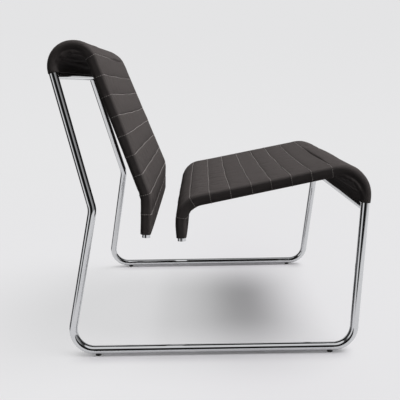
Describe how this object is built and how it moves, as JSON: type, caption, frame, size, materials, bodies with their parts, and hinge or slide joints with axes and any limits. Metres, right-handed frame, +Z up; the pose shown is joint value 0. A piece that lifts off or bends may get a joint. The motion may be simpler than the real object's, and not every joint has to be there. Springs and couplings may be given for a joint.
{
  "type": "cantilever lounge chair",
  "caption": "Armless lounge chair of bent chromed tube: quilted sleeves form a sloping cantilevered seat that curls over the front and a reclined back that rolls over the top.",
  "frame": {"origin": "on the floor, under the middle of the chair's bounding box", "axes": "+Z up, the chair faces -Y, +X is the sitter's left"},
  "size_m": [0.606, 0.7534, 0.7415],
  "materials": {
    "chrome": "polished",
    "steel": "satin",
    "black_plastic": "matte",
    "upholstery": "matte",
    "foam": "matte",
    "suspension": "matte",
    "binding": "matte"
  },
  "bodies": {
    "root": {"side_tube_left": "chrome", "side_tube_right": "chrome", "top_crossbar": "chrome", "front_crossbar": "chrome", "seat_spreader": "steel", "back_spreader": "steel", "seat_spreader_screws": "steel", "back_spreader_screws": "steel", "seat_tube_plugs": "black_plastic", "back_tube_plugs": "black_plastic", "front_glide_left": "black_plastic", "front_glide_right": "black_plastic", "rear_glide_left": "black_plastic", "rear_glide_right": "black_plastic", "seat_cover": "upholstery", "seat_foam_upper": "foam", "seat_foam_lower": "foam", "seat_sling": "suspension", "seat_hem_strip": "binding", "back_cover": "upholstery", "back_foam_front": "foam", "back_foam_rear": "foam", "back_sling": "suspension", "back_hem_strip": "binding"}
  },
  "joints": []
}
